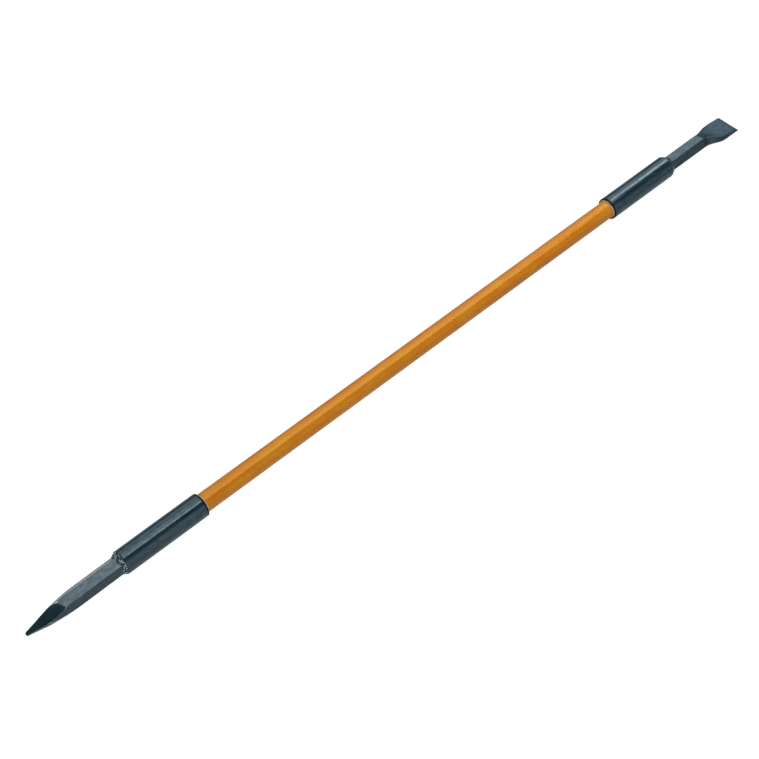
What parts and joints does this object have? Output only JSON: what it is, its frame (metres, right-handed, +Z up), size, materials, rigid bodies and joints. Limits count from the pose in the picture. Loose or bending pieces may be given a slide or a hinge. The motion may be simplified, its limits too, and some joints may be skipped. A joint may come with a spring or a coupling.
{
  "type": "crowbar",
  "caption": "Long insulated crowbar with a hexagon steel point at one end and a flared chisel blade at the other, in tube sockets on a round orange shaft.",
  "frame": {"origin": "on the floor under the middle of the crowbar's length, midway across the blade", "axes": "+X along the bar from the point to the chisel, +Z up with the blade level, Y across the blade"},
  "size_m": [1.5, 0.0438, 0.0379],
  "materials": {
    "painted_steel": "satin black paint with a blue-grey cast",
    "weld_metal": "satin black paint over weld",
    "orange_sheath": "glossy",
    "glass_fibre": "sawn glass fibre in resin",
    "bonding_resin": "set resin"
  },
  "bodies": {
    "root": {"point_bar": "painted_steel", "point_weld": "weld_metal", "point_socket": "painted_steel", "point_bond": "bonding_resin", "shaft_sheath": "orange_sheath", "shaft_core": "glass_fibre", "chisel_bond": "bonding_resin", "chisel_socket": "painted_steel", "chisel_weld": "weld_metal", "chisel_bar": "painted_steel"}
  },
  "joints": []
}
